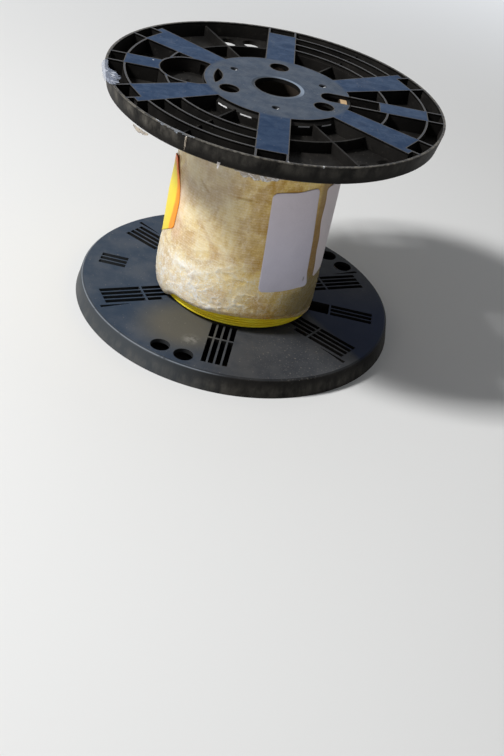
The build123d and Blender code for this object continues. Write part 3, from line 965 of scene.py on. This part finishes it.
def clinging_strip(name, material, crumple, ragged, span, profile, seed):
    """A strip of loose film over an arc of the reel: a profile of radius and height, crumpled and torn."""
    first, last = span
    radii, heights = zip(*profile)
    middle = radii[len(radii) // 2]
    columns = max(fewest_strip_columns, round(math.radians(last - first) * middle / strip_pitch))
    points = []
    for j in range(strip_rows + 1):
        for i in range(columns + 1):
            u, v = i / columns, j / strip_rows
            torn, ends = torn_edge(u, columns, ragged, seed)
            along = v * (1 - torn * v) * ends * (len(profile) - 1)
            radius = np.interp(along, range(len(profile)), radii)
            height = np.interp(along, range(len(profile)), heights)
            point = Vector(on_cylinder(radius, first + (last - first) * u, height))
            sample = point * crumple_scale + Vector((seed * 3.0, 0, 0))
            outward = Vector((point.x, point.y, 0)).normalized()
            point += outward * abs(noise.noise(sample)) * crumple
            point.z += noise.noise(sample + Vector((0, 7, 2))) * crumple * 0.6
            points.append(point)
    piece = mesh_object(name, points, grid_faces(columns, strip_rows), material)
    add_wall(piece, strip_thickness, -1.0)
    return piece


def by_rim(*offsets):
    """Radius and height of points given in mm from the upper flange's top edge, outwards and upwards."""
    return [(flange_radius + out * MM, reel_height + up * MM) for out, up in offsets]


def add_camera():
    """The photograph's view, with its focal length and off-centre framing."""
    camera = bpy.data.objects.new("camera", bpy.data.cameras.new("camera"))
    camera.location = camera_place
    camera.rotation_euler = [math.radians(a) for a in camera_turn]
    camera.data.sensor_width = sensor_width
    camera.data.lens = focal_length
    camera.data.shift_x, camera.data.shift_y = frame_shift
    bpy.context.scene.collection.objects.link(camera)
    bpy.context.scene.camera = camera


def area_light(name, direction, distance, size, power):
    """A square soft light that looks at the middle of the reel from a direction."""
    light = bpy.data.objects.new(name, bpy.data.lights.new(name, "AREA"))
    middle = Vector((0, 0, reel_height / 2))
    away = Vector(direction).normalized()
    light.location = middle + away * distance
    light.rotation_euler = away.to_track_quat("Z", "Y").to_euler()
    light.data.size = size
    light.data.energy = power
    bpy.context.scene.collection.objects.link(light)


def stage_floor():
    """A pale floor, with painted shade in the gap under the reel, that fades to the sky's colour far away."""
    f = Finish("stage_floor")
    away = f.from_axis()
    # Painted shade on the floor under the reel.
    reel_shade = f.band(away, flange_radius - 14 * MM, flange_radius - 8 * MM)
    lit = f.principled(base_color=f.mix(reel_shade, floor_painted_shade, floor_grey), roughness=0.9)
    glow = f.node("ShaderNodeEmission", {}, {"Color": sky_colour, "Strength": sky_strength})
    far = f.band(away, 0.55, 1.7) * f.node("ShaderNodeLightPath", output="Is Camera Ray")
    return f.done(f.node("ShaderNodeMixShader", {}, {0: far, 1: lit, 2: glow}, "Shader"))


def add_world():
    """A pale sky, bright where it is seen or reflected, and dim as a light."""
    world = bpy.data.worlds.new("studio")
    world.use_nodes = True
    bpy.context.scene.world = world
    g = Graph(world.node_tree)
    camera_ray = g.node("ShaderNodeLightPath", output="Is Camera Ray")
    glossy_ray = g.node("ShaderNodeLightPath", output="Is Glossy Ray")
    through_ray = g.node("ShaderNodeLightPath", output="Is Transmission Ray")
    seen = (camera_ray + glossy_ray + through_ray).math("MINIMUM", 1.0)
    strength = dim_sky_strength + seen * (sky_strength - dim_sky_strength)
    sky = g.node("ShaderNodeBackground", {}, {"Color": sky_colour, "Strength": strength})
    g.node("ShaderNodeOutputWorld", {}, {"Surface": sky})


def add_stage():
    """The floor, the world, a hard light from the left and soft ones from the front and behind."""
    square = ((-1, -1), (1, -1), (1, 1), (-1, 1))
    corners = [(x * floor_reach, y * floor_reach, floor_level) for x, y in square]
    floor = mesh_object("stage_floor", corners, [(0, 1, 2, 3)], stage_floor(), smooth=False)
    add_world()
    area_light("key", direction=(-0.653, -0.184, 0.734), distance=2.4, size=0.35, power=62.0)
    area_light("fill", direction=(-0.45, -0.85, 0.15), distance=2.0, size=1.4, power=3.2)
    area_light("top", direction=(0.1, 0.5, 0.9), distance=1.8, size=1.2, power=2.5)


add_camera()
add_stage()

plastic = moulded_plastic()
for node in ("top_flange", "bottom_flange"):
    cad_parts[node].data.materials[0] = plastic
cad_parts["core_tube"].data.materials[0] = fibre_board()

turns = cable_turns()
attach(turns, "root")
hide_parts("cable_winding")

film = wrapped_film()
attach(film, "root")
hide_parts("bubble_wrap")

paper = label_paper("label_paper", front_paper_painted_shade)
pinkish_paper = label_paper("side_label_paper", side_paper)
front = paper_label("blank_front_label", front_corners, paper, front_bow, creased_corner, mark=crease_shade_mark)
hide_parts("front_label")
side = paper_label("blank_side_label", side_corners, pinkish_paper, side_bow, flat)
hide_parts("side_label")
for piece in (front, side):
    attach(piece, "root")

sticker = paper_label("blank_lot_sticker", sticker_corners, sticker_paper(), sticker_bow, peeled_corner,
                      size=sticker_size)
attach(sticker, "root")
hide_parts("lot_sticker")

hazy = clear_scrap("hazy_scrap", 0.38, scrap_hazy)
soiled = clear_scrap("soiled_scrap", 0.6, scrap_soiled)
white = clear_scrap("white_scrap", 0.6, scrap_white)
faint = clear_scrap("faint_scrap", 0.0, scrap_faint)

# Each strip's name, finish, crumple in mm, torn share, first and last azimuth in degrees, and its profile as
# points of radius and height
strips = [
    ("rim_scrap", hazy, 0.6, 0.35, (186, 206), by_rim((-3, 0.6), (1.4, 0.8), (2.2, -1), (1.0, -8))),
    ("rim_flap", hazy, 0.7, 0.5, (193, 205), by_rim((-1, 0.9), (-13, 0.4))),
    ("film_frill", white, 0.8, 0.30, (249, 284), frill_profile),
    ("rim_tuft", white, 0.5, 0.1, (254.5, 255.4), by_rim((0.3, -12.6), (0.9, -18.1))),
    ("rim_residue", faint, 0.6, 0.9, (231, 246), by_rim((-1.5, 0.2), (0.3, -0.2), (0.4, -4.0))),
    ("rim_thread", soiled, 0.05, 0.0, (243.1, 243.7), by_rim((0.2, -1), (0.3, -14.6))),
    ("rim_shred", soiled, 0.6, 0.3, (222, 229.5), by_rim((0.2, -14.6), (0.5, -19.1))),
]
for seed, (name, finish, crumple, ragged, span, profile) in enumerate(strips):
    piece = clinging_strip(name, finish, crumple * MM, ragged, span, profile, seed)
    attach(piece, "root")

bpy.context.scene.view_settings.view_transform = "Standard"
